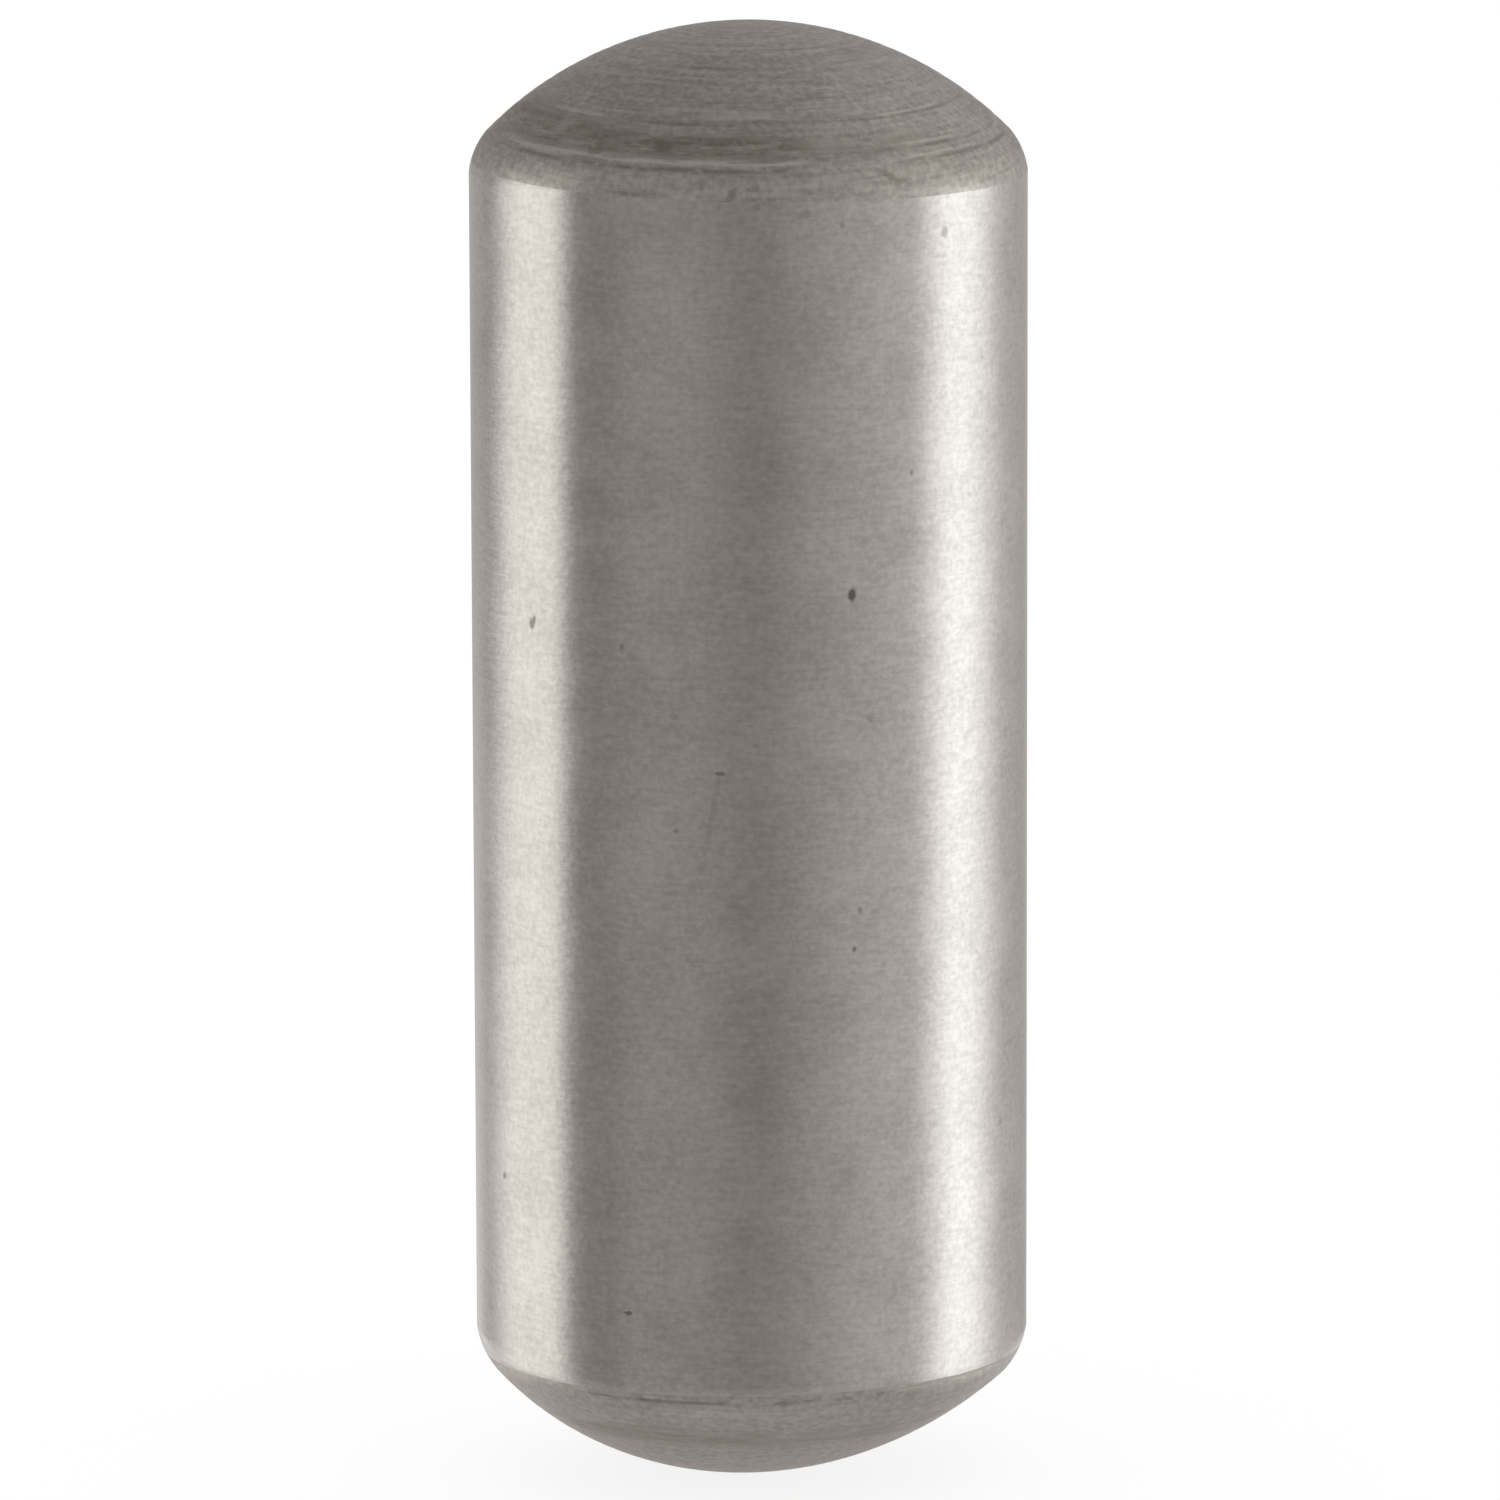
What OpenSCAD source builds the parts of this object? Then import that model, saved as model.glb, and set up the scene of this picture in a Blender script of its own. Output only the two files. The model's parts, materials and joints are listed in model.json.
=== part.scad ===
// Interlock pin: one steel pin with a ground shank and two turned, domed ends.
// It slides in the cross bore between two shift rails, and its domes seat in the rails' notches.
// The axis is Z and the origin is the middle of the pin. Lengths are in millimetres, angles in degrees.

/* [Shank] */
// Ground diameter of the shank
shank_d = 8; // [4:0.1:16]
// Length over both crowns
pin_length = 21.1; // [14:0.1:60]

/* [Domed ends] */
// Angle from the axis out to the rim of each dome, seen from the dome's centre
dome_angle = 45.5; // [20:0.5:70]
// Radius of the rounded shoulder between the dome and the shank
shoulder_r = 1.1; // [0.4:0.05:2]
// Turn of the surface at the faint edge between the dome and the shoulder
rim_edge_angle = 5; // [2:1:12]
// Turn of the surface at the faint edge between the shoulder and the ground shank
shank_edge_angle = 8; // [2:1:12]

/* [Hidden] */
$fn = 128;

shank_r = shank_d / 2;
half_length = pin_length / 2;

// Angles of the shoulder's surface from the axis, at the dome's rim and at the shank
shoulder_from = dome_angle + rim_edge_angle;
shoulder_to = 90 - shank_edge_angle;

// Rim of the dome, and the sphere that the dome is part of
rim_r = shank_r - shoulder_r * (sin(shoulder_to) - sin(shoulder_from));
dome_r = rim_r / sin(dome_angle);
dome_z = half_length - dome_r;
rim_z = dome_z + dome_r * cos(dome_angle);

// Centre of the shoulder's arc in the half section
shoulder_x = rim_r - shoulder_r * sin(shoulder_from);
shoulder_z = rim_z - shoulder_r * cos(shoulder_from);

// Radius of the core that backs the dome: it ends where the shoulder's arc stands highest above the dome
core_r = dome_r * sin(atan2(shoulder_x, shoulder_z - dome_z));

// Half section of one end: what the dome, the shoulder and the shank all leave standing
module end_section() {
    intersection() {
        square([shank_r, half_length]);
        translate([0, dome_z])
            circle(r = dome_r);
        union() {
            square([core_r, half_length]);
            translate([shoulder_x, shoulder_z])
                circle(r = shoulder_r);
        }
    }
}

// Half section of the whole pin, from the axis outwards
module pin_section() {
    translate([0, -shoulder_z])
        square([shank_r, 2 * shoulder_z]);
    end_section();
    mirror([0, 1])
        end_section();
}

module interlock_pin() {
    color("silver")
        rotate_extrude()
            pin_section();
}

interlock_pin();
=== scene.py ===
"""Interlock pin: the looks of a ground steel pin with turned, domed ends, and the studio it stands in."""

import json
import math
from collections import namedtuple

import bmesh
import bpy
from mathutils import Matrix, Vector


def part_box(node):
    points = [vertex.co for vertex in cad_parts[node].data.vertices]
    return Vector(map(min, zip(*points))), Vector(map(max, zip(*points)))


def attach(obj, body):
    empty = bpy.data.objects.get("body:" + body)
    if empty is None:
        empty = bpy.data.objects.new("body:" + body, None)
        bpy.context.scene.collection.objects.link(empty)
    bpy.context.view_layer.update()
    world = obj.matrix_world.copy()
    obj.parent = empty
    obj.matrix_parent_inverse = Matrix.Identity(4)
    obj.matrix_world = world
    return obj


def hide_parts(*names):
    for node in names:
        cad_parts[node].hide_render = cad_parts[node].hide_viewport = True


bl_info = {
    "name": "Interlock Pin",
    "version": (1, 0, 0),
    "blender": (4, 5, 0),
    "location": "View3D > Sidebar > Interlock Pin",
    "description": "Models an interlock pin with a ground shank and turned domes, and sets up its studio",
    "category": "Add Mesh",
}

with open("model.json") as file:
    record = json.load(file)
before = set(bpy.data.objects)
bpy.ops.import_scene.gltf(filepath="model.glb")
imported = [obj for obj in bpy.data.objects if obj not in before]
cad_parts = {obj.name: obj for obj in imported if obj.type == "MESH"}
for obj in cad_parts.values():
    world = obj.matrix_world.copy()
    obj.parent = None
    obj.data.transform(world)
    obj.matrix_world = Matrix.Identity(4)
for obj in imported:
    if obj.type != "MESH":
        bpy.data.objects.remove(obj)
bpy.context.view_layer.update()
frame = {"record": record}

NODE = "interlock_pin"
BODY = "root"
MM = 0.001
PIN_LOW, PIN_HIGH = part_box(NODE)
SHANK = next(mount for mount in frame["record"]["mounts"] if mount["name"] == "shank")
SHANK_RADIUS = SHANK["dims"]["r_mm"] * MM
PIN_LENGTH = PIN_HIGH.z - PIN_LOW.z
SHORTEST = 1e-7
TO_DEGREES = math.degrees(1.0)


# Settings that a user would change

def length(name, description, default):
    """A length property, in metres."""
    return bpy.props.FloatProperty(
        name=name, description=description, default=default, min=SHORTEST, unit="LENGTH", precision=6)


def angle(name, description, degrees):
    """An angle property, given in degrees."""
    return bpy.props.FloatProperty(
        name=name, description=description, default=math.radians(degrees), subtype="ANGLE")


def factor(name, description, default, largest=1.0):
    """A plain number property."""
    return bpy.props.FloatProperty(name=name, description=description, default=default, min=0.0, max=largest)


def colour(name, description, default):
    """A colour property."""
    return bpy.props.FloatVectorProperty(
        name=name, description=description, default=default, size=3, min=0.0, max=1.0, subtype="COLOR")


class PinShape(bpy.types.PropertyGroup):
    """Sizes of the pin and of the marks that turning left on its domes."""

    shank_radius: length("Shank radius", "Radius of the ground shank", SHANK_RADIUS)
    pin_length: length("Length", "Length over both crowns", PIN_LENGTH)
    dome_angle: angle("Dome angle", "Angle from the axis out to the rim of each dome", 45.5)
    shoulder_radius: length("Shoulder radius", "Radius of the rounded shoulder", 1.1 * MM)
    rim_edge: angle("Rim edge", "Turn of the surface between the dome and the shoulder", 5.0)
    shank_edge: angle("Shank edge", "Turn of the surface between the shoulder and the shank", 8.0)
    ring_pitch: length("Ring pitch", "Distance between the turning marks on the domes", 0.18 * MM)
    ring_depth: length("Ring depth", "Depth of the deepest turning marks", 0.0045 * MM)
    scratch_depth: length("Scratch depth", "Depth of the scratches that run round the domes", 0.005 * MM)
    spin_steps: bpy.props.IntProperty(
        name="Steps", description="Steps of the spin about the axis", default=256, min=64, max=512)


class PinFinish(bpy.types.PropertyGroup):
    """Colours and gloss of the steel."""

    ground_colour: colour("Ground steel", "Colour of the ground shank", (0.60, 0.563, 0.532))
    turned_colour: colour("Turned steel", "Colour of the turned ends", (0.53, 0.49, 0.455))
    stain_colour: colour("Stain", "Colour of the brown stain on the upper dome", (0.30, 0.26, 0.215))
    mark_colour: colour("Marks", "Colour of pits and scratches", (0.16, 0.14, 0.12))
    ground_roughness: factor("Ground roughness", "Roughness of the ground shank", 0.19)
    turned_roughness: factor("Turned roughness", "Roughness of the turned ends", 0.40)


class PinStudio(bpy.types.PropertyGroup):
    """The floor, the light and the camera."""

    floor_colour: colour("Floor", "Colour of the floor", (0.16, 0.16, 0.16))
    floor_glow: factor("Floor glow", "Light that the floor itself gives off", 0.84, 5.0)
    tent_colour: colour("Tent", "Colour of the tent round the pin", (1.0, 0.972, 0.955))
    tent_level: factor("Tent level", "Brightness of the tent in front of the pin", 0.37, 5.0)
    left_colour: colour("Left panel colour", "Colour of the left light panel", (0.98, 1.0, 0.97))
    right_colour: colour("Right panel colour", "Colour of the right light panel", (0.928, 0.985, 1.0))
    left_level: factor("Left panel", "Brightness of the left light panel", 0.85, 5.0)
    right_level: factor("Right panel", "Brightness of the right light panel", 1.045, 5.0)
    camera_distance: length(
        "Camera distance", "Distance from the camera to the middle of the pin", 156.0 * MM)
    camera_elevation: angle("Camera elevation", "Height of the camera above the horizon", 9.38)
    camera_roll: angle("Camera roll", "Turn of the camera about its line of sight", -0.17)
    camera_lens: bpy.props.FloatProperty(
        name="Lens", description="Focal length of the camera", default=259.3, min=1.0, unit="CAMERA")


# Marks on the steel

Mark = namedtuple("Mark", "turn height width length lean strength")

# Turns in degrees to the right of the front. Heights, half widths and half lengths in millimetres
SHANK_MARKS = (
    Mark(21.3, 2.83, 0.080, 0.110, 0.0, 0.90),
    Mark(-50.2, 2.27, 0.085, 0.140, 0.3, 0.65),
    Mark(-6.1, 0.32, 0.085, 0.040, 0.0, 0.50),
    Mark(-8.2, -0.45, 0.060, 1.050, 0.19, 0.12),
    Mark(43.6, 7.85, 0.070, 0.110, 0.0, 0.32),
    Mark(-26.1, -7.52, 0.090, 0.040, 0.0, 0.75),
    Mark(21.4, -2.25, 0.045, 0.055, 0.0, 0.65),
    Mark(25.0, 1.04, 0.055, 0.055, 0.0, 0.30),
    Mark(-15.7, 1.12, 0.090, 0.070, 0.0, 0.22),
    Mark(-26.8, 2.08, 0.045, 0.055, 0.0, 0.4),
    Mark(-15.2, -0.52, 0.055, 0.045, 0.0, 0.4),
    Mark(-62.2, -5.87, 0.070, 0.060, 0.0, 0.5),
    Mark(34.9, 4.49, 0.045, 0.055, 0.0, 0.5),
    Mark(63.6, -5.10, 0.070, 0.080, 0.0, 0.4),
    Mark(22.7, -1.69, 0.045, 0.055, 0.0, 0.4),
    Mark(1.7, 8.34, 0.080, 0.060, 0.0, 0.35),
    Mark(11.3, 8.21, 0.120, 0.080, 0.8, 0.25),
    Mark(19.0, 8.07, 0.050, 0.060, 0.0, 0.35),
)
END_MARKS = (
    Mark(-3.6, 8.47, 0.090, 0.200, 0.55, 0.40),
    Mark(1.3, 8.58, 0.120, 0.045, 0.3, 0.30),
    Mark(30.0, 8.71, 0.110, 0.075, -1.0, 0.45),
    Mark(32.5, 8.60, 0.120, 0.080, 0.6, 0.40),
    Mark(28.0, 9.18, 0.090, 0.060, 0.0, 0.35),
    Mark(51.0, 9.01, 0.045, 0.130, 0.3, 0.45),
    Mark(-19.0, 9.12, 0.160, 0.090, 0.4, 0.55),
    Mark(-36.0, 9.03, 0.200, 0.070, 0.0, 0.40),
    Mark(-4.2, -8.66, 0.050, 0.080, 0.0, 0.45),
    Mark(6.0, -8.79, 0.140, 0.040, 0.0, 0.35),
    Mark(12.0, -8.76, 0.120, 0.030, 0.0, 0.40),
    Mark(20.0, -8.75, 0.150, 0.045, 0.0, 0.40),
    Mark(28.0, -8.74, 0.080, 0.045, 0.0, 0.40),
)

Ring = namedtuple("Ring", "place width start end strength")

# Places are angles from the crown about the dome's centre, below zero on the lower end. All in degrees
DARK_RINGS = (
    Ring(44.1, 0.60, -56.0, 5.0, 0.50),
    Ring(35.1, 0.50, 30.0, 74.0, 0.40),
    Ring(41.6, 0.55, 32.0, 76.0, 0.40),
    Ring(44.1, 0.60, 38.0, 76.0, 0.45),
    Ring(35.2, 0.50, -22.0, -6.0, 0.40),
    Ring(48.0, 0.45, -28.0, -20.0, 0.35),
    Ring(-47.9, 0.50, -32.0, -8.0, 0.60),
)
# Lighter turning rings on the domes. Those along the rims are painted highlight lines, where the rim's edge
# catches the light
LIGHT_RINGS_AND_RIM_GLINTS = (
    Ring(42.85, 0.80, -68.0, 9.0, 0.70),
    Ring(34.4, 0.40, 36.0, 54.0, 0.50),
    Ring(40.8, 0.45, 40.0, 52.0, 0.55),
    Ring(43.2, 0.45, 40.0, 60.0, 0.50),
    Ring(34.8, 0.60, -55.0, -43.0, 0.45),
    Ring(37.0, 2.20, 42.0, 58.0, 0.20),
    Ring(32.7, 2.20, -26.0, 4.0, 0.25),
    Ring(45.7, 1.20, 8.0, 40.0, 0.20),
    Ring(-45.8, 2.40, -16.0, 16.0, 0.22),
)
BROWN_RINGS = (
    Ring(38.9, 5.60, -88.0, -34.0, 0.90),
    Ring(39.9, 3.80, -34.0, 7.0, 0.98),
    Ring(41.1, 1.60, -62.0, 2.0, 0.90),
    Ring(39.6, 1.10, -22.5, -16.5, 1.00),
    Ring(40.5, 3.00, 18.0, 38.0, 0.28),
    Ring(22.0, 6.00, 40.0, 76.0, 0.25),
    Ring(-37.2, 4.40, -50.0, 2.0, 0.68),
    Ring(-37.2, 4.20, 8.0, 50.0, 0.45),
    Ring(-49.4, 0.60, -68.0, -42.0, 0.75),
    Ring(-49.4, 0.60, 34.0, 68.0, 0.75),
)

FinishEdge = namedtuple("FinishEdge", "height right front")

# Where the ground finish ends, in millimetres: its height on the axis, and its rise from there to the
# right and to the front of the shank
UPPER_EDGE = FinishEdge(8.517, -0.075, -0.12)
LOWER_EDGE = FinishEdge(-8.70, 0.04, 0.04)

# How far the lower crown stands to the right of the axis, in millimetres
LOWER_LEAN = -0.15

# Lean of the upper end's turning rings to the front, and the angles from the crown between which it
# sets in, in degrees
UPPER_LEAN = 3.4
LEAN_FADE = (10.0, 35.0)


# Modelling

def deselect_everything():
    """Leaves object mode with nothing selected."""
    if bpy.context.object and bpy.context.object.mode != "OBJECT":
        bpy.ops.object.mode_set(mode="OBJECT")
    bpy.ops.object.select_all(action="DESELECT")


class EndForm:
    """One end of the pin in half section, in millimetres: dome, rim, shoulder and the end of the shank."""

    def __init__(self, shape):
        self.shank_r = shape.shank_radius / MM
        self.half_length = shape.pin_length / MM / 2
        self.dome_angle = shape.dome_angle
        self.shoulder_r = shape.shoulder_radius / MM
        self.shoulder_from = shape.dome_angle + shape.rim_edge
        self.shoulder_to = math.pi / 2 - shape.shank_edge
        bulge = math.sin(self.shoulder_to) - math.sin(self.shoulder_from)
        self.rim_r = self.shank_r - self.shoulder_r * bulge
        self.dome_r = self.rim_r / math.sin(self.dome_angle)
        self.dome_z = self.half_length - self.dome_r
        self.rim_z = self.dome_z + self.dome_r * math.cos(self.dome_angle)
        self.shoulder_x = self.rim_r - self.shoulder_r * math.sin(self.shoulder_from)
        self.shoulder_z = self.rim_z - self.shoulder_r * math.cos(self.shoulder_from)
        self.shank_z = self.shoulder_z + self.shoulder_r * math.cos(self.shoulder_to)

    def on_dome(self, turn, depth):
        """A point of the dome at an angle from the axis, sunk by a depth."""
        radius = self.dome_r - depth
        return radius * math.sin(turn), self.dome_z + radius * math.cos(turn)

    def on_shoulder(self, turn):
        """A point of the shoulder at an angle from the axis."""
        return (
            self.shoulder_x + self.shoulder_r * math.sin(turn),
            self.shoulder_z + self.shoulder_r * math.cos(turn),
        )

    def radius_at(self, height):
        """Radius of the surface at a height from the middle of the pin."""
        up = abs(height)
        if up <= self.shank_z:
            return self.shank_r
        if up <= self.rim_z:
            return self.shoulder_x + math.sqrt(self.shoulder_r ** 2 - (up - self.shoulder_z) ** 2)
        return math.sqrt(self.dome_r ** 2 - (up - self.dome_z) ** 2)


# Points of the half section
POINTS_PER_RING = 6
SHOULDER_STEPS = 18
SHANK_BANDS = 10
EDGE_BANDS = (0.03, 0.12, 0.4)

# Turning marks: the start of each end's pattern, its step from ring to ring, and the mean and swing of
# the depth
UPPER_PHASE = 0.6
LOWER_PHASE = 3.1
RING_STEP = 2.4
RING_MEAN = 0.55
RING_SWING = 0.45

# Merging distances in millimetres, at the poles of the spin and along the finish edges
POLE_MERGE = 1e-4
SLIVER_MERGE = 0.003

# Scratches: reach to either side, and how far in from the ends each pass starts, in degrees
SCRATCH_REACH = 0.2
SCRATCH_INSETS = (0.0, 7.0)

# Map for baking, and the gaps between its parts in millimetres
MAP_NAME = "OFBake"
MAP_GAP = 0.25


def turning_depth(rings, depth, phase):
    """Depth of the turning marks, by the number of rings from the crown. Some rings are deeper."""
    wave = (1.0 - math.cos(2 * math.pi * rings)) / 2
    strength = RING_MEAN + RING_SWING * math.sin(phase + RING_STEP * math.floor(rings))
    return depth * wave * strength


def end_points(shape, form, phase):
    """Half section of one end from the crown to the shank, as (radius, height) in millimetres."""
    pitch = shape.ring_pitch / MM
    rings = round(form.dome_r * form.dome_angle / pitch)
    count = rings * POINTS_PER_RING
    points = [(0.0, form.half_length)]
    for i in range(1, count + 1):
        turn = form.dome_angle * i / count
        depth = turning_depth(rings * i / count, shape.ring_depth / MM, phase)
        points.append(form.on_dome(turn, depth))
    for i in range(1, SHOULDER_STEPS + 1):
        share = i / SHOULDER_STEPS
        turn = form.shoulder_from + (form.shoulder_to - form.shoulder_from) * share
        points.append(form.on_shoulder(turn))
    points += [(form.shank_r, form.shank_z - band) for band in EDGE_BANDS]
    return points


def pin_points(shape, form):
    """Half section of the whole pin from the lower crown to the upper one."""
    upper = end_points(shape, form, UPPER_PHASE)
    lower = [(radius, -height) for radius, height in end_points(shape, form, LOWER_PHASE)]
    top = upper[-1][1]
    bands = [-top + 2 * top * i / SHANK_BANDS for i in range(1, SHANK_BANDS)]
    shank = [(form.shank_r, height) for height in bands]
    return lower + shank + upper[::-1]


def draw_section(points):
    """Adds the pin's object with the half section as a chain of edges, and leaves it in edit mode."""
    deselect_everything()
    bpy.ops.mesh.primitive_plane_add(size=1.0)
    pin = bpy.context.object
    pin.name = pin.data.name = "dressed_pin"
    bpy.ops.object.mode_set(mode="EDIT")
    bpy.ops.mesh.select_all(action="SELECT")
    bpy.ops.mesh.merge(type="CENTER")
    bpy.ops.transform.translate(value=points[0])
    for here, there in zip(points, points[1:]):
        bpy.ops.mesh.extrude_region_move(TRANSFORM_OT_translate={"value": there - here})
    return pin


def spin_section(steps):
    """Spins the section about the axis and closes the poles and the seam."""
    bpy.ops.mesh.select_all(action="SELECT")
    bpy.ops.mesh.spin(steps=steps, angle=2 * math.pi, center=(0, 0, 0), axis=(0, 0, 1))
    bpy.ops.mesh.select_all(action="SELECT")
    bpy.ops.mesh.remove_doubles(threshold=POLE_MERGE)
    bpy.ops.mesh.normals_make_consistent(inside=False)


def turn_of(point):
    """Turn of a point about the axis, to the right of the front."""
    return math.atan2(point.x, -point.y)


def smooth_step(value, low, high):
    """Smooth step of a value from 0 to 1 between two limits."""
    share = min(max((value - low) / (high - low), 0.0), 1.0)
    return share * share * (3.0 - 2.0 * share)


def ring_place(point, form):
    """Place of the turning ring through a point and the point's turn, both in degrees."""
    turn = turn_of(point)
    away = math.degrees(math.atan2(point.xy.length, abs(point.z) - form.dome_z))
    polar = math.copysign(away, point.z)
    lean = UPPER_LEAN * math.cos(turn) * smooth_step(polar, *LEAN_FADE)
    return polar - lean, math.degrees(turn)


def finish_plane(edge, form):
    """Point and normal of the plane where the ground finish ends, in millimetres."""
    normal = Vector((-edge.right / form.shank_r, edge.front / form.shank_r, 1.0))
    return Vector((0.0, 0.0, edge.height)), normal.normalized()


def score_domes(pin, shape, form):
    """Sinks the turning scratches into the ends, deeper in the middle of each than near its ends."""
    bpy.ops.mesh.select_mode(type="VERT")
    mesh = bmesh.from_edit_mesh(pin.data)
    places = [ring_place(vertex.co, form) for vertex in mesh.verts]
    depth = shape.scratch_depth / MM / len(SCRATCH_INSETS)
    for ring in DARK_RINGS:
        for inset in SCRATCH_INSETS:
            bpy.ops.mesh.select_all(action="DESELECT")
            mesh = bmesh.from_edit_mesh(pin.data)
            for vertex, (place, turn) in zip(mesh.verts, places):
                near = abs(place - ring.place) < SCRATCH_REACH
                vertex.select = near and ring.start + inset < turn < ring.end - inset
            bmesh.update_edit_mesh(pin.data)
            bpy.ops.transform.shrink_fatten(value=-depth)


def lean_lower_dome(pin, form):
    """Moves the lower crown aside, and the rest of its dome less and less towards the rim, which stays."""
    bpy.ops.mesh.select_mode(type="VERT")
    bpy.ops.mesh.select_all(action="DESELECT")
    mesh = bmesh.from_edit_mesh(pin.data)
    crown = min(mesh.verts, key=lambda vertex: vertex.co.z)
    crown.select = True
    bmesh.update_edit_mesh(pin.data)
    reach = 2 * form.dome_r * math.sin(form.dome_angle / 2)
    bpy.ops.transform.translate(
        value=(LOWER_LEAN, 0.0, 0.0), use_proportional_edit=True, proportional_edit_falloff="INVERSE_SQUARE",
        proportional_size=reach)


def cut_finish_edges(form):
    """Cuts the mesh where the ground finish ends, and merges the slivers that the cuts leave."""
    for edge in (UPPER_EDGE, LOWER_EDGE):
        point, normal = finish_plane(edge, form)
        bpy.ops.mesh.select_all(action="SELECT")
        bpy.ops.mesh.bisect(plane_co=point, plane_no=normal)
        bpy.ops.mesh.remove_doubles(threshold=SLIVER_MERGE, use_unselected=True)


def model_pin(shape, form):
    """Models the pin in millimetres and brings it to metres."""
    pin = draw_section([Vector((radius, 0.0, height)) for radius, height in pin_points(shape, form)])
    spin_section(shape.spin_steps)
    score_domes(pin, shape, form)
    lean_lower_dome(pin, form)
    cut_finish_edges(form)
    bpy.ops.mesh.select_all(action="SELECT")
    bpy.ops.transform.resize(value=(MM, MM, MM), center_override=(0, 0, 0))
    bpy.ops.object.mode_set(mode="OBJECT")
    bpy.ops.object.shade_smooth()
    return pin


def check_closed(pin):
    """Raises an error if the pin's mesh has an open edge."""
    mesh = bmesh.new()
    mesh.from_mesh(pin.data)
    closed = all(edge.is_manifold for edge in mesh.edges)
    mesh.free()
    if not closed:
        raise RuntimeError("The pin's mesh isn't closed")


def map_pin(pin, form):
    """Lays the shank out as a strip and the domes as discs, with the seam at the back, for baking."""
    mesh = pin.data
    spots = mesh.uv_layers.new(name=MAP_NAME).data
    disc = form.dome_r * form.dome_angle
    side = 2 * form.rim_z + 2 * disc + 3 * MAP_GAP
    for face in mesh.polygons:
        middle = turn_of(face.center)
        upper = face.center.z > 0
        on_dome = abs(face.center.z) > form.rim_z * MM
        for loop in face.loop_indices:
            point = mesh.vertices[mesh.loops[loop].vertex_index].co / MM
            turn = turn_of(point)
            if on_dome:
                away = form.dome_r * math.atan2(point.xy.length, abs(point.z) - form.dome_z)
                across = MAP_GAP + disc + (2 * disc + MAP_GAP if upper else 0.0) + away * math.sin(turn)
                up = side - MAP_GAP - disc + away * math.cos(turn)
            else:
                turn -= 2 * math.pi * round((turn - middle) / (2 * math.pi))
                across = MAP_GAP + form.shank_r * (turn + math.pi)
                up = MAP_GAP + form.rim_z + point.z
            spots[loop].uv = (across / side, up / side)


def assign_ends(pin, form, slot):
    """Gives both turned ends the material in a slot."""
    (upper, up), (lower, down) = (finish_plane(edge, form) for edge in (UPPER_EDGE, LOWER_EDGE))
    bpy.ops.object.mode_set(mode="EDIT")
    bpy.ops.mesh.select_mode(type="FACE")
    bpy.ops.mesh.select_all(action="DESELECT")
    bpy.ops.object.mode_set(mode="OBJECT")
    for face in pin.data.polygons:
        centre = face.center / MM
        face.select = (centre - upper).dot(up) > 0 or (centre - lower).dot(down) < 0
    pin.active_material_index = slot
    bpy.ops.object.mode_set(mode="EDIT")
    bpy.ops.object.material_slot_assign()
    bpy.ops.object.mode_set(mode="OBJECT")


# Shader nodes

# The middle of a noise's values
MIDDLE = 0.5


def add_node(tree, kind, inputs=None, **settings):
    """Adds a node, sets its options, and links or sets its inputs."""
    made = tree.nodes.new(kind)
    for name, value in settings.items():
        setattr(made, name, value)
    for socket, value in (inputs or {}).items():
        if isinstance(value, bpy.types.NodeSocket):
            tree.links.new(value, made.inputs[socket])
        else:
            made.inputs[socket].default_value = value
    return made


def calc(tree, operation, *values):
    """Output of a Math node."""
    return add_node(tree, "ShaderNodeMath", dict(enumerate(values)), operation=operation).outputs[0]


def vector_calc(tree, operation, *values, output=0):
    """Output of a Vector Math node."""
    made = add_node(tree, "ShaderNodeVectorMath", dict(enumerate(values)), operation=operation)
    return made.outputs[output]


def ramp(tree, value, low, high, start=0.0, end=1.0):
    """Smooth step of a value between two limits."""
    inputs = {"Value": value, "From Min": low, "From Max": high, "To Min": start, "To Max": end}
    return add_node(tree, "ShaderNodeMapRange", inputs, interpolation_type="SMOOTHSTEP").outputs[0]


def swing(tree, noisy, size, base):
    """Adds a noise's swing about its middle, times a size, to a base."""
    return calc(tree, "MULTIPLY_ADD", calc(tree, "SUBTRACT", noisy, MIDDLE), size, base)


def mix_value(tree, share, first, second):
    """Mix of two numbers."""
    return add_node(tree, "ShaderNodeMix", {0: share, 2: first, 3: second}).outputs[0]


def mix_colour(tree, share, first, second):
    """Mix of two colours."""
    return add_node(tree, "ShaderNodeMix", {0: share, 6: first, 7: second}, data_type="RGBA").outputs[2]


def noise(tree, vector, scale, detail, roughness):
    """Value of a noise texture, from 0 to 1."""
    inputs = {"Vector": vector, "Scale": scale, "Detail": detail, "Roughness": roughness}
    return add_node(tree, "ShaderNodeTexNoise", inputs).outputs["Fac"]


def new_group(name, inputs, outputs):
    """A shader node group with its input and output nodes. Inputs map a name to a default value."""
    group = bpy.data.node_groups.new(name, "ShaderNodeTree")
    for socket, default in inputs.items():
        kind = "NodeSocketFloat" if isinstance(default, float) else "NodeSocketVector"
        made = group.interface.new_socket(socket, in_out="INPUT", socket_type=kind)
        made.default_value = default
    for socket in outputs:
        group.interface.new_socket(socket, in_out="OUTPUT", socket_type="NodeSocketFloat")
    return group, add_node(group, "NodeGroupInput").outputs, add_node(group, "NodeGroupOutput")


def use_group(tree, group, inputs):
    """Places a group in a material and returns its first output."""
    return add_node(tree, "ShaderNodeGroup", inputs, node_tree=group).outputs[0]


# Detail and roughness of the noise in lines and in mottle
LINE_NOISE = (3.0, 0.6)
MOTTLE_NOISE = (3.0, 0.55)

# Patches: how far the grain moves their edges, and where they fade, both in half widths
PATCH_RAGGED = 1.2
PATCH_EDGE = (0.45, 1.1)

# Rings: where their sides fade, in half widths, and how the grain wears them: two limits, and the
# strength that is left at each
RING_SIDES = (0.1, 1.0)
RING_WEAR = (0.36, 0.54, 0.15, 1.0)


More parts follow.
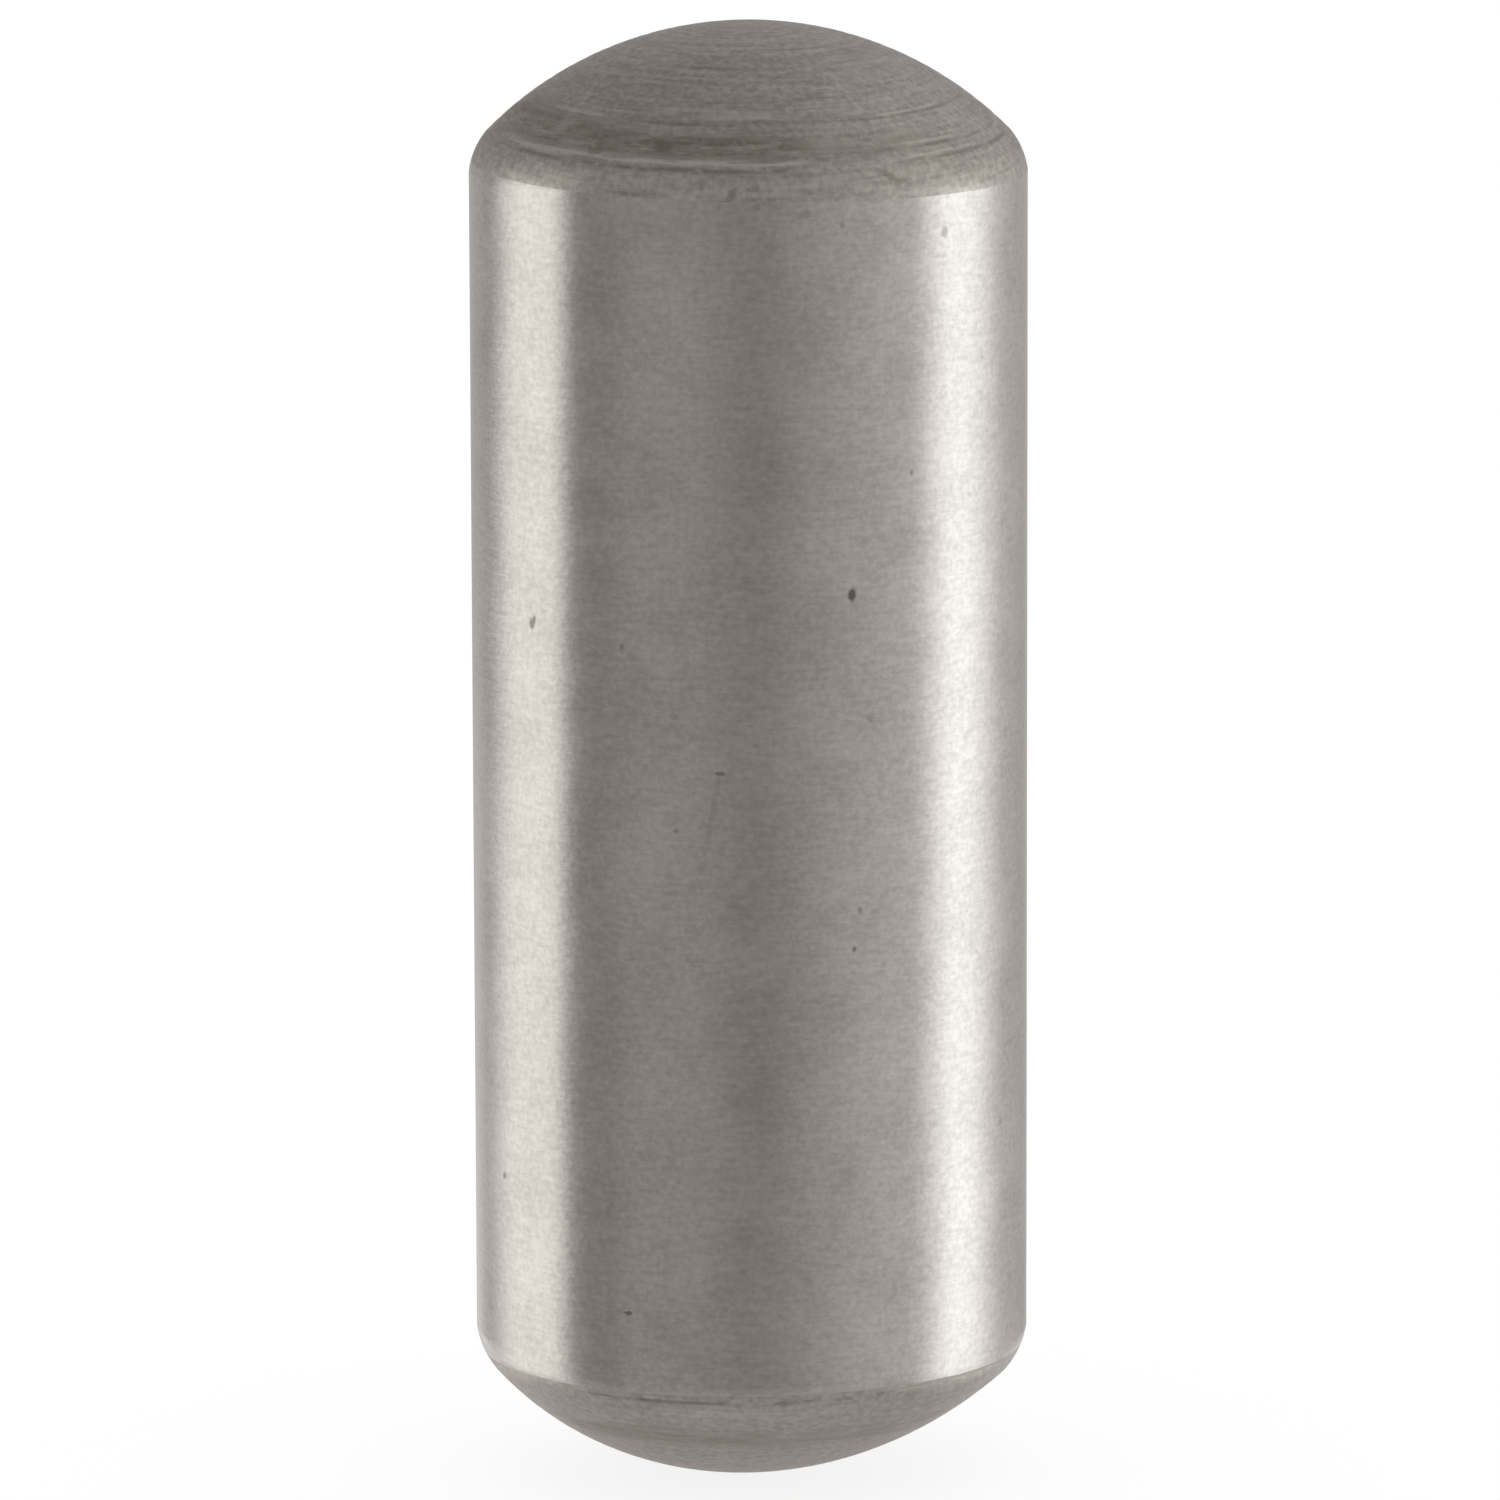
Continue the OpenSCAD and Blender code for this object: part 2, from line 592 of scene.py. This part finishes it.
def lathe_lines_group():
    """Fine lines that run round the axis, as a cutting edge or a grinding wheel leaves them."""
    group, given, out = new_group(
        "lathe_lines", {"Position": (0, 0, 0), "Across": 0.0, "Pitch": 1e-4, "Reach": 1e-2}, ["Height"])
    place = add_node(group, "ShaderNodeSeparateXYZ", {0: given["Position"]}).outputs
    spot = add_node(group, "ShaderNodeCombineXYZ", {
        0: calc(group, "DIVIDE", place[0], given["Reach"]),
        1: calc(group, "DIVIDE", place[1], given["Reach"]),
        2: calc(group, "DIVIDE", given["Across"], given["Pitch"]),
    }).outputs[0]
    group.links.new(noise(group, spot, 1.0, *LINE_NOISE), out.inputs["Height"])
    return group


def mottle_group():
    """Cloudy change of gloss over the steel."""
    group, given, out = new_group("gloss_mottle", {"Position": (0, 0, 0), "Size": 3e-4}, ["Value"])
    scale = calc(group, "DIVIDE", 1.0, given["Size"])
    group.links.new(noise(group, given["Position"], scale, *MOTTLE_NOISE), out.inputs["Value"])
    return group


def patch_group():
    """A ragged oval patch about a centre, used for pits, scratches and stains."""
    group, given, out = new_group("ragged_patch", {
        "Position": (0, 0, 0), "Grain": 0.5, "Centre": (0, 0, 0), "Width": 1e-4, "Length": 1e-4, "Lean": 0.0,
        "Strength": 1.0}, ["Mask"])
    offset = vector_calc(group, "SUBTRACT", given["Position"], given["Centre"])
    part = add_node(group, "ShaderNodeSeparateXYZ", {0: offset}).outputs
    leant = calc(group, "SUBTRACT", part[0], calc(group, "MULTIPLY", part[2], given["Lean"]))
    squeezed = calc(group, "MULTIPLY", part[2], calc(group, "DIVIDE", given["Width"], given["Length"]))
    spot = add_node(group, "ShaderNodeCombineXYZ", {0: leant, 1: part[1], 2: squeezed}).outputs[0]
    away = calc(group, "DIVIDE", vector_calc(group, "LENGTH", spot, output=1), given["Width"])
    ragged = swing(group, given["Grain"], PATCH_RAGGED, away)
    group.links.new(ramp(group, ragged, *PATCH_EDGE, given["Strength"], 0.0), out.inputs["Mask"])
    return group


def ring_group():
    """Part of a ring round the crown, used for turning scratches, stains, lighter rings and painted
    highlight lines along the rims. Its ends fade out.
    """
    group, given, out = new_group("ring_mark_and_glint", {
        "Polar": 0.0, "Turn": 0.0, "Grain": 0.5, "Place": 0.0, "Width": 1.0, "From": 0.0, "To": 0.0,
        "Fade": 9.0, "Strength": 1.0}, ["Mask"])
    away = calc(group, "ABSOLUTE", calc(group, "SUBTRACT", given["Polar"], given["Place"]))
    line = ramp(group, calc(group, "DIVIDE", away, given["Width"]), *RING_SIDES, given["Strength"], 0.0)
    begin = ramp(group, given["Turn"], calc(group, "SUBTRACT", given["From"], given["Fade"]), given["From"])
    end = ramp(group, given["Turn"], given["To"], calc(group, "ADD", given["To"], given["Fade"]), 1.0, 0.0)
    worn = ramp(group, given["Grain"], *RING_WEAR)
    shown = calc(group, "MULTIPLY", calc(group, "MULTIPLY", begin, end), worn)
    group.links.new(calc(group, "MULTIPLY", line, shown), out.inputs["Mask"])
    return group


def steel_material(name):
    """A metal material with its shader and its position."""
    material = bpy.data.materials.new(name)
    material.use_nodes = True
    tree = material.node_tree
    tree.nodes.clear()
    shader = add_node(tree, "ShaderNodeBsdfPrincipled", {"Metallic": 1.0})
    output = add_node(tree, "ShaderNodeOutputMaterial")
    tree.links.new(shader.outputs[0], output.inputs["Surface"])
    position = add_node(tree, "ShaderNodeTexCoord").outputs["Object"]
    return material, tree, shader, position


def opaque(value, scale=1.0):
    """A colour property as a shader colour."""
    return (*(part * scale for part in value), 1.0)


def bumped(tree, height, depth):
    """Normal of a surface with a bump of that depth."""
    inputs = {"Height": height, "Distance": depth, "Strength": 1.0}
    return add_node(tree, "ShaderNodeBump", inputs).outputs[0]


def weighed(tree, values, shares):
    """Sum of several values, each times its share."""
    total = calc(tree, "MULTIPLY", values[0], shares[0])
    for value, share in zip(values[1:], shares[1:]):
        total = calc(tree, "MULTIPLY_ADD", value, share, total)
    return total


def heaviest(tree, masks):
    """Largest of several masks."""
    total = masks[0]
    for mask in masks[1:]:
        total = calc(tree, "MAXIMUM", total, mask)
    return total


def scattered_marks(tree, groups, position, grain, form, marks):
    """Mask of all the marks in a list, each placed by its turn and height on the pin."""
    masks = []
    for mark in marks:
        turn = math.radians(mark.turn)
        radius = form.radius_at(mark.height)
        centre = Vector((radius * math.sin(turn), -radius * math.cos(turn), mark.height)) * MM
        masks.append(use_group(tree, groups["patch"], {
            "Position": position, "Grain": grain, "Centre": centre, "Width": mark.width * MM,
            "Length": mark.length * MM, "Lean": mark.lean, "Strength": mark.strength}))
    return heaviest(tree, masks)


# Ground steel, in millimetres: size of the grain and of the clouds, pitch and reach of the lines, and
# depth of the bump
GROUND_GRAIN = 0.09
GROUND_CLOUD = 1.1
GROUND_PITCH = 0.06
GROUND_REACH = 0.30
GROUND_BUMP = 0.008

# Shares of grain, lines and clouds in the tone, its limits, and the shade of the colour at each limit
GROUND_SHARES = (0.40, 0.30, 0.30)
GROUND_TONE = (0.25, 0.75)
GROUND_SHADES = (0.78, 1.22)

# Shares of lines and grain in the bump, swing of the roughness, and roughness that a mark adds
GROUND_RELIEF = (0.30, 0.12)
GROUND_GLOSS = 0.12
MARK_DULLNESS = 0.3


def ground_steel(finish, groups, form):
    """Satin steel of the shank: grinding lines round the axis, a mottled gloss and a few pits."""
    material, tree, shader, position = steel_material("ground_steel")
    height = add_node(tree, "ShaderNodeSeparateXYZ", {0: position}).outputs[2]
    grain = use_group(tree, groups["mottle"], {"Position": position, "Size": GROUND_GRAIN * MM})
    cloud = use_group(tree, groups["mottle"], {"Position": position, "Size": GROUND_CLOUD * MM})
    lines = use_group(tree, groups["lines"], {
        "Position": position, "Across": height, "Pitch": GROUND_PITCH * MM, "Reach": GROUND_REACH * MM})
    marks = scattered_marks(tree, groups, position, grain, form, SHANK_MARKS)
    tone = ramp(tree, weighed(tree, (grain, lines, cloud), GROUND_SHARES), *GROUND_TONE)
    steel = mix_colour(tree, tone, *(opaque(finish.ground_colour, shade) for shade in GROUND_SHADES))
    tree.links.new(mix_colour(tree, marks, steel, opaque(finish.mark_colour)), shader.inputs["Base Color"])
    gloss = swing(tree, cloud, GROUND_GLOSS, finish.ground_roughness)
    tree.links.new(calc(tree, "MULTIPLY_ADD", marks, MARK_DULLNESS, gloss), shader.inputs["Roughness"])
    relief = weighed(tree, (lines, grain), GROUND_RELIEF)
    tree.links.new(bumped(tree, relief, GROUND_BUMP * MM), shader.inputs["Normal"])
    return material


def turning_rings(tree, groups, where, grain, rings, fade):
    """Mask of all the rings in a list: scratches, stain rings, lighter rings and painted highlight lines
    along the rims.
    """
    masks = []
    for ring in rings:
        masks.append(use_group(tree, groups["ring"], {
            "Polar": where[0], "Turn": where[1], "Grain": grain, "Place": ring.place, "Width": ring.width,
            "From": ring.start, "To": ring.end, "Fade": fade, "Strength": ring.strength}))
    return heaviest(tree, masks)


def crown_place(tree, position, form):
    """Place of the turning ring, below zero on the lower end, and turn from the front, in degrees."""
    part = add_node(tree, "ShaderNodeSeparateXYZ", {0: position}).outputs
    lean = add_node(tree, "ShaderNodeMapRange", {
        "Value": part[2], "From Min": -form.rim_z * MM, "From Max": -form.half_length * MM, "To Min": 0.0,
        "To Max": LOWER_LEAN * MM}).outputs[0]
    right = calc(tree, "SUBTRACT", part[0], lean)
    spot = add_node(tree, "ShaderNodeCombineXYZ", {0: right, 1: part[1]}).outputs[0]
    radius = vector_calc(tree, "LENGTH", spot, output=1)
    above = calc(tree, "SUBTRACT", calc(tree, "ABSOLUTE", part[2]), form.dome_z * MM)
    away = calc(tree, "MULTIPLY", calc(tree, "ARCTAN2", radius, above), TO_DEGREES)
    polar = calc(tree, "MULTIPLY", away, calc(tree, "SIGN", part[2]))
    turn = calc(tree, "ARCTAN2", right, calc(tree, "MULTIPLY", part[1], -1.0))
    most = ramp(tree, polar, *LEAN_FADE, 0.0, UPPER_LEAN)
    leant = calc(tree, "MULTIPLY", calc(tree, "COSINE", turn), most)
    place = calc(tree, "SUBTRACT", polar, leant)
    return place, calc(tree, "MULTIPLY", turn, TO_DEGREES)


# Turned steel: size of the grain and depth of the bump, in millimetres
TURNED_GRAIN = 0.10
TURNED_BUMP = 0.006

# Pitch in degrees and reach in millimetres of the lines and of the streaks in the stain
FINE_LINES = (0.75, 0.9)
COARSE_LINES = (2.6, 3.0)
STREAKS = (1.5, 0.6)

# Shares of fine and coarse lines in the lines, and of lines and grain in the tone
LINE_SHARES = (0.55, 0.45)
TURNED_SHARES = (0.75, 0.25)

# Contrast by the ring's place, from the lower to the upper end, and what the grain adds to the tone
TURNED_CONTRAST = (-10.0, 10.0, 0.5, 0.8)
TURNED_SPECKLE = 0.28

# Limits of the tone, the shade of the colours at each limit, and the shades of light rings and of scratches
TURNED_TONE = (0.30, 0.70)
TURNED_SHADES = (0.72, 1.28)
# Shade of the light rings, which also paints the highlight lines along the rims
LIGHT_RING_AND_GLINT_SHADE = 1.5
SCORED_SHADE = 1.4

# Swing of the roughness
TURNED_GLOSS = 0.20

# Length over which the ends of scratches and light rings fade, and of the stain's rings, and smear of the
# stain, in degrees
RING_END_FADE = 8.0
STAIN_FADE = 14.0
STAIN_SMEAR = 4.0

# How the grain breaks the stain into blotches: two limits, and the strength at each
STAIN_BLOTCHES = (0.35, 0.62, 0.20, 1.0)


def round_lines(tree, groups, position, place, spacing):
    """Lines round the crown, with a pitch in degrees and a reach in millimetres."""
    pitch, reach = spacing
    return use_group(tree, groups["lines"], {
        "Position": position, "Across": place, "Pitch": pitch, "Reach": reach * MM})


def turned_steel(finish, groups, form):
    """Duller steel of the turned ends: turning lines round the crown, scratches, a brown stain, and light
    rings with painted rim highlights.
    """
    material, tree, shader, position = steel_material("turned_steel")
    place, turn = crown_place(tree, position, form)
    grain = use_group(tree, groups["mottle"], {"Position": position, "Size": TURNED_GRAIN * MM})
    fine = round_lines(tree, groups, position, place, FINE_LINES)
    coarse = round_lines(tree, groups, position, place, COARSE_LINES)
    streak = round_lines(tree, groups, position, place, STREAKS)
    lines = weighed(tree, (fine, coarse), LINE_SHARES)
    tone = weighed(tree, (lines, grain), TURNED_SHARES)
    tone = swing(tree, tone, ramp(tree, place, *TURNED_CONTRAST), MIDDLE)
    tone = ramp(tree, swing(tree, grain, TURNED_SPECKLE, tone), *TURNED_TONE)
    steel = mix_colour(tree, tone, *(opaque(finish.turned_colour, shade) for shade in TURNED_SHADES))
    brown = mix_colour(tree, tone, *(opaque(finish.stain_colour, shade) for shade in TURNED_SHADES))
    smeared = swing(tree, streak, STAIN_SMEAR, place)
    stain = turning_rings(tree, groups, (smeared, turn), streak, BROWN_RINGS, STAIN_FADE)
    # Lighter rings, with painted highlight lines where the rims' edges catch the light
    light = turning_rings(tree, groups, (place, turn), fine, LIGHT_RINGS_AND_RIM_GLINTS, RING_END_FADE)
    dark = turning_rings(tree, groups, (place, turn), streak, DARK_RINGS, RING_END_FADE)
    marks = scattered_marks(tree, groups, position, grain, form, END_MARKS)
    blotched = calc(tree, "MULTIPLY", stain, ramp(tree, grain, *STAIN_BLOTCHES))
    stained = mix_colour(tree, blotched, steel, brown)
    # Paints the light rings and the rim highlights in a lighter turned colour
    lit = mix_colour(tree, light, stained, opaque(finish.turned_colour, LIGHT_RING_AND_GLINT_SHADE))
    scored = calc(tree, "MAXIMUM", dark, marks)
    surface = mix_colour(tree, scored, lit, opaque(finish.mark_colour, SCORED_SHADE))
    tree.links.new(surface, shader.inputs["Base Color"])
    tree.links.new(swing(tree, coarse, TURNED_GLOSS, finish.turned_roughness), shader.inputs["Roughness"])
    tree.links.new(bumped(tree, lines, TURNED_BUMP * MM), shader.inputs["Normal"])
    return material


def steel_finishes(finish, form):
    """The pin's two finishes, built from the shared groups."""
    groups = {
        "lines": lathe_lines_group(), "mottle": mottle_group(), "patch": patch_group(), "ring": ring_group()}
    return ground_steel(finish, groups, form), turned_steel(finish, groups, form)


# Studio: the tent is laid out by the turn and rise, in degrees, of the steel that mirrors it to the camera

# Panels and shades: the turns or rises where each begins, is full, begins to fade and has faded
LEFT_PANEL = (-73.0, -57.5, -45.4, -38.3)
RIGHT_PANEL = (34.0, 48.0, 48.0, 68.0)
LEFT_RISE = (-30.0, -18.0, 9.0, 30.0)
RIGHT_RISE = (-27.5, -21.0, 6.0, 20.0)
LEFT_SHADE = (-42.0, -36.0, -32.0, -24.0)
FRONT_SHADE = (-13.0, -1.0, 1.0, 13.0)
SHADE_LEVEL = -0.07

# Changes of level by the turn: two turns, and what is added at each
RIGHT_SIDE = (5.0, 37.0, 0.0, 0.25)
RIGHT_BACK = (65.0, 80.0, 0.0, -0.15)
LEFT_BACK = (-78.0, -62.0, 0.25, 0.0)

# Changes of level by the rise: two rises, and the share that is left at each
BACK_RISE = (-16.0, -2.0, 2.4, 1.0)
LEFT_BACK_RISE = (0.3, 2.2, 1.0, 0.42)
DOME_RISE = (8.0, 34.0, 1.0, 0.2)
HIGH_RISE = (15.0, 45.0, 1.0, 0.86)

# Low down the level changes with the turn. Two rises show where that begins
LOW_RISE = (-28.0, -14.0, 1.0, 0.0)
LOW_SIDES = (38.0, 75.0, 0.46, 0.78)

# Far round and overhead the tent is even, so that its halves meet without a step
FAR_SIDE = (92.0, 125.0)
CROWN_RISE = (58.0, 84.0)
EVEN_LEVEL = 0.48

# Straight behind the pin it is even too, by the cosine of the slant at which the steel mirrors it
BEHIND = (0.0, 0.2, 1.0, 0.0)
BEHIND_LEVEL = 0.55

# Lean of the panels' edges: two rises, and the turn that the edge moves by at each
LEFT_OUTER_LEAN = (0.0, 2.3, 0.0, 4.3)
LEFT_INNER_LEAN = (-2.2, 2.2, -0.8, 0.5)
RIGHT_OUTER_LEAN = (-2.2, 1.0, -1.5, 0.0)

# Floor and camera: lengths in metres, the sensor in millimetres
WHITE = (1.0, 1.0, 1.0, 1.0)
FLOOR_SIZE = 2.0
FLOOR_ROUGHNESS = 0.9
SENSOR_WIDTH = 36.0
CLIP_START = 0.01
CLIP_END = 10.0


def window(tree, value, limits):
    """Mask that rises between the first two limits and falls between the last two."""
    return calc(tree, "MULTIPLY", ramp(tree, value, *limits[:2]), ramp(tree, value, *limits[2:], 1.0, 0.0))


def panel(tree, place, limits, leans, rises):
    """Mask of a light panel whose two upright edges lean with the rise. The place is a turn and a rise."""
    turn, rise = place
    first, last = (
        calc(tree, "SUBTRACT", turn, ramp(tree, rise, *lean)) if lean else turn for lean in leans)
    across = calc(tree, "MULTIPLY", ramp(tree, first, *limits[:2]), ramp(tree, last, *limits[2:], 1.0, 0.0))
    return calc(tree, "MULTIPLY", across, window(tree, rise, rises))


def scaled(tree, tint, level):
    """A colour property times a level."""
    return add_node(tree, "ShaderNodeVectorMath", {0: tint, "Scale": level}, operation="SCALE").outputs[0]


def tent_place(tree, half):
    """Turn and rise, in degrees, of steel that faces halfway between the tent and the camera."""
    part = add_node(tree, "ShaderNodeSeparateXYZ", {0: half}).outputs
    turn = calc(tree, "ARCTAN2", part[0], calc(tree, "MULTIPLY", part[1], -1.0))
    turn = calc(tree, "MULTIPLY", turn, TO_DEGREES)
    rise = calc(tree, "MULTIPLY", calc(tree, "ARCSINE", part[2]), TO_DEGREES)
    return turn, rise


def tent_level(tree, turn, rise, front_level):
    """Brightness of the tent, without its panels."""
    lower = ramp(tree, rise, *DOME_RISE)
    right = calc(tree, "ADD", ramp(tree, turn, *RIGHT_SIDE), ramp(tree, turn, *RIGHT_BACK))
    left = calc(tree, "MULTIPLY", ramp(tree, turn, *LEFT_BACK), ramp(tree, rise, *BACK_RISE))
    left = calc(tree, "MULTIPLY", left, ramp(tree, rise, *LEFT_BACK_RISE))
    left = calc(tree, "MULTIPLY", left, lower)
    shade = calc(tree, "ADD", window(tree, turn, FRONT_SHADE), window(tree, turn, LEFT_SHADE))
    shade = calc(tree, "MULTIPLY", calc(tree, "MULTIPLY", shade, lower), SHADE_LEVEL)
    level = calc(tree, "ADD", calc(tree, "ADD", right, left), calc(tree, "ADD", shade, front_level))
    aside = calc(tree, "ABSOLUTE", turn)
    even = calc(tree, "MAXIMUM", ramp(tree, aside, *FAR_SIDE), ramp(tree, rise, *CROWN_RISE))
    level = mix_value(tree, even, level, EVEN_LEVEL)
    high = calc(tree, "MULTIPLY", level, ramp(tree, rise, *HIGH_RISE))
    return mix_value(tree, ramp(tree, rise, *LOW_RISE), high, ramp(tree, aside, *LOW_SIDES))


def tent_light(tree, way, studio):
    """Colour of the tent and its two panels in a direction."""
    camera = (0.0, -math.cos(studio.camera_elevation), math.sin(studio.camera_elevation))
    half = vector_calc(tree, "NORMALIZE", vector_calc(tree, "ADD", way, camera))
    place = tent_place(tree, half)
    behind = ramp(tree, vector_calc(tree, "DOT_PRODUCT", half, camera, output=1), *BEHIND)
    tent = mix_value(tree, behind, tent_level(tree, *place, studio.tent_level), BEHIND_LEVEL)
    left_panel = panel(tree, place, LEFT_PANEL, (LEFT_OUTER_LEAN, LEFT_INNER_LEAN), LEFT_RISE)
    right_panel = panel(tree, place, RIGHT_PANEL, (None, RIGHT_OUTER_LEAN), RIGHT_RISE)
    tent_part = scaled(tree, studio.tent_colour, tent)
    left_part = scaled(tree, studio.left_colour, calc(tree, "MULTIPLY", left_panel, studio.left_level))
    right_part = scaled(tree, studio.right_colour, calc(tree, "MULTIPLY", right_panel, studio.right_level))
    return vector_calc(tree, "ADD", tent_part, vector_calc(tree, "ADD", left_part, right_part))


def light_world(studio):
    """A grey tent with a bright panel on either side, which the steel mirrors. The rest is plain white."""
    world = bpy.data.worlds.new("studio")
    bpy.context.scene.world = world
    world.use_nodes = True
    world.cycles.sampling_method = "NONE"
    tree = world.node_tree
    tree.nodes.clear()
    way = add_node(tree, "ShaderNodeTexCoord").outputs["Generated"]
    mirrored = add_node(tree, "ShaderNodeLightPath").outputs["Is Glossy Ray"]
    tent = add_node(tree, "ShaderNodeBackground", {"Color": tent_light(tree, way, studio)}).outputs[0]
    plain = add_node(tree, "ShaderNodeBackground", {"Color": WHITE}).outputs[0]
    light = add_node(tree, "ShaderNodeMixShader", {0: mirrored, 1: plain, 2: tent}).outputs[0]
    add_node(tree, "ShaderNodeOutputWorld", {"Surface": light})


def floor_material(studio):
    """Pale, even floor that gives off a little light, so that shadows on it stay soft."""
    material = bpy.data.materials.new("pale_floor")
    material.use_nodes = True
    shader = material.node_tree.nodes["Principled BSDF"]
    shader.inputs["Base Color"].default_value = opaque(studio.floor_colour)
    shader.inputs["Roughness"].default_value = FLOOR_ROUGHNESS
    shader.inputs["Emission Color"].default_value = WHITE
    shader.inputs["Emission Strength"].default_value = studio.floor_glow
    return material


def lay_floor(studio):
    """Lays the floor under the lower crown. It isn't mirrored in the steel."""
    deselect_everything()
    bpy.ops.mesh.primitive_plane_add(size=FLOOR_SIZE, location=(0, 0, PIN_LOW.z))
    floor = bpy.context.object
    floor.name = floor.data.name = "floor"
    floor.data.materials.append(floor_material(studio))
    floor.visible_glossy = False
    floor.visible_shadow = False


def aim_camera(studio):
    """Sets the camera at the photograph's viewing angle, aimed at the middle of the pin."""
    deselect_everything()
    back = Vector((0.0, -math.cos(studio.camera_elevation), math.sin(studio.camera_elevation)))
    bpy.ops.object.camera_add(location=back * studio.camera_distance)
    camera = bpy.context.object
    camera.name = "photo_camera"
    turn = back.to_track_quat("Z", "Y").to_matrix() @ Matrix.Rotation(studio.camera_roll, 3, "Z")
    camera.rotation_euler = turn.to_euler()
    camera.data.lens = studio.camera_lens
    camera.data.sensor_width = SENSOR_WIDTH
    camera.data.clip_start = CLIP_START
    camera.data.clip_end = CLIP_END
    bpy.context.scene.camera = camera


# Operators

class PIN_OT_add_pin(bpy.types.Operator):
    """Model the pin as one spun mesh and give it its ground and turned finishes"""

    bl_idname = "interlock_pin.add_pin"
    bl_label = "Add Interlock Pin"

    def execute(self, context):
        form = EndForm(context.scene.pin_shape)
        pin = model_pin(context.scene.pin_shape, form)
        check_closed(pin)
        for material in steel_finishes(context.scene.pin_finish, form):
            pin.data.materials.append(material)
        assign_ends(pin, form, slot=1)
        map_pin(pin, form)
        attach(pin, BODY)
        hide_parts(NODE)
        return {"FINISHED"}


class PIN_OT_set_stage(bpy.types.Operator):
    """Lay the floor, light the studio and aim the camera"""

    bl_idname = "interlock_pin.set_stage"
    bl_label = "Set Up Studio"

    def execute(self, context):
        studio = context.scene.pin_studio
        context.scene.view_settings.view_transform = "Standard"
        light_world(studio)
        lay_floor(studio)
        aim_camera(studio)
        return {"FINISHED"}


class PIN_PT_sidebar(bpy.types.Panel):
    """Lists the pin's settings and operators"""

    bl_idname = "PIN_PT_sidebar"
    bl_label = "Interlock Pin"
    bl_space_type = "VIEW_3D"
    bl_region_type = "UI"
    bl_category = "Interlock Pin"

    def draw(self, context):
        for group in (context.scene.pin_shape, context.scene.pin_finish, context.scene.pin_studio):
            box = self.layout.box()
            for name in group.__annotations__:
                box.prop(group, name)
        self.layout.operator(PIN_OT_add_pin.bl_idname)
        self.layout.operator(PIN_OT_set_stage.bl_idname)


SETTINGS = {"pin_shape": PinShape, "pin_finish": PinFinish, "pin_studio": PinStudio}
CLASSES = (*SETTINGS.values(), PIN_OT_add_pin, PIN_OT_set_stage, PIN_PT_sidebar)


def register():
    """Registers the settings, the operators and the panel."""
    for cls in CLASSES:
        bpy.utils.register_class(cls)
    for name, cls in SETTINGS.items():
        setattr(bpy.types.Scene, name, bpy.props.PointerProperty(type=cls))


def unregister():
    """Takes the settings, the operators and the panel away again."""
    for name in SETTINGS:
        delattr(bpy.types.Scene, name)
    for cls in reversed(CLASSES):
        bpy.utils.unregister_class(cls)


def main():
    """Builds the pin and its studio."""
    register()
    bpy.ops.interlock_pin.add_pin()
    bpy.ops.interlock_pin.set_stage()


if __name__ == "__main__":
    main()
